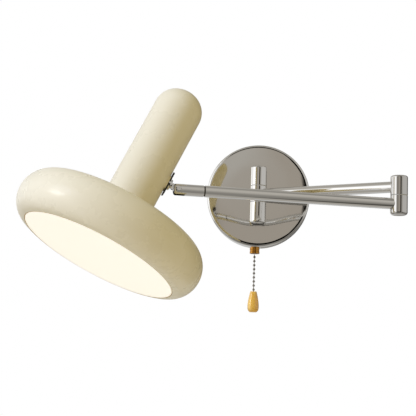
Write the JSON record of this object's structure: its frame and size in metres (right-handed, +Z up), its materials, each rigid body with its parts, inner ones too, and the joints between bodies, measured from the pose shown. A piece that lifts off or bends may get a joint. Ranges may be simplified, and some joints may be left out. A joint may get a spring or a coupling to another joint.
{
  "type": "swing-arm wall lamp",
  "caption": "Wall lamp with a folding chrome swing arm, a tilting cream mushroom head with a flat opal diffuser, and a pull-chain switch under its round canopy.",
  "frame": {"origin": "centre of the canopy's back, on the wall", "axes": "+X right along the wall as seen from the room, +Y into the wall, +Z up"},
  "size_m": [0.3981, 0.3068, 0.2234],
  "materials": {
    "mirror_chrome": "mirror polished chrome plate",
    "plated_steel": "bright zinc plate",
    "turned_brass": "turned and polished brass",
    "chain_metal": "dark nickel plated steel beads",
    "varnished_wood": "clear yellow varnish over turned wood",
    "cream_paint": "satin cream stove enamel",
    "trim_paint": "satin cream enamel",
    "opal_acrylic": "opal white acrylic, lit from behind",
    "black_plastic": "moulded black nylon",
    "white_plastic": "moulded white plastic",
    "cable_sheath": "smooth white cable sheath",
    "white_aluminium": "white coated aluminium sheet",
    "led_phosphor": "yellow phosphor on white chips"
  },
  "bodies": {
    "base": {"wall_bracket": "plated_steel", "canopy_shell": "mirror_chrome", "canopy_screws": "mirror_chrome", "earth_screw": "plated_steel", "backing_plate": "plated_steel", "column_nipples": "plated_steel", "column_nuts": "plated_steel", "column_top": "mirror_chrome", "column_base": "mirror_chrome", "column_spindle": "plated_steel", "column_washers": "white_plastic", "terminal_block": "white_plastic", "terminal_screws": "turned_brass", "lamp_leads": "cable_sheath", "switch_leads": "cable_sheath", "switch_case": "black_plastic", "switch_bush": "turned_brass", "switch_lock_nut": "turned_brass", "switch_ring_nut": "turned_brass", "switch_spring": "plated_steel"},
    "arm_1": {"swing_sleeve": "mirror_chrome", "arm_1_tube": "mirror_chrome", "arm_1_cable": "cable_sheath", "elbow_top": "mirror_chrome", "elbow_spindle": "plated_steel", "elbow_nut": "plated_steel", "elbow_washer": "white_plastic"},
    "arm_2": {"elbow_base": "mirror_chrome", "elbow_cap": "mirror_chrome", "arm_2_tube": "mirror_chrome", "arm_2_cable": "cable_sheath", "roll_bush": "black_plastic"},
    "knuckle": {"knuckle_fork": "mirror_chrome", "knuckle_ring": "black_plastic", "knuckle_nut": "plated_steel", "tilt_screw": "mirror_chrome", "tilt_nut": "plated_steel"},
    "head": {"neck_stem": "mirror_chrome", "neck_nut": "plated_steel", "flange_washer": "black_plastic", "saddle_pad": "cream_paint", "inner_saddle": "plated_steel", "head_shell": "cream_paint", "diffuser": "opal_acrylic", "trim_ring": "trim_paint", "mounting_plate": "white_aluminium", "plate_posts": "plated_steel", "plate_screws": "plated_steel", "led_board": "white_aluminium", "led_chips": "led_phosphor", "led_driver": "white_plastic", "head_lead": "cable_sheath", "board_leads": "cable_sheath"},
    "pull": {"switch_plunger": "turned_brass", "chain_top_bead": "chain_metal"},
    "chain": {"ball_chain": "chain_metal", "pull_knob": "varnished_wood"}
  },
  "joints": [
    {"name": "arm_1_swing", "type": "hinge", "parent": "base", "child": "arm_1", "pos_m": [0, -0.0355, 0], "axis": [0, 0, 1], "range_deg": [-151.8, 28.2]},
    {"name": "elbow_fold", "type": "hinge", "parent": "arm_1", "child": "arm_2", "pos_m": [0.15158, -0.11678, 0], "axis": [0, 0, -1], "range_deg": [-135.7, 30]},
    {"name": "knuckle_roll", "type": "hinge", "parent": "arm_2", "child": "knuckle", "pos_m": [-0.079, -0.18333, -0.0186], "axis": [-0.9608, -0.2773, 0], "range_deg": [-167.4, 152.6]},
    {"name": "head_tilt", "type": "hinge", "parent": "knuckle", "child": "head", "pos_m": [-0.079, -0.18333, -0.0186], "axis": [-0.275, 0.9528, -0.1288], "range_deg": [-61.4, 63.6]},
    {"name": "switch_pull", "type": "slide", "parent": "base", "child": "pull", "axis": [0, 0, -1], "range_m": [0, 0.008], "stiffness_N_per_m": 900, "springref_m": -0.002, "deforming": ["switch_spring"]},
    {"name": "chain_swing", "type": "hinge", "parent": "pull", "child": "chain", "pos_m": [-0.0026, -0.0125, -0.06634], "axis": [0, 1, 0], "range_deg": [-30, 30]}
  ]
}
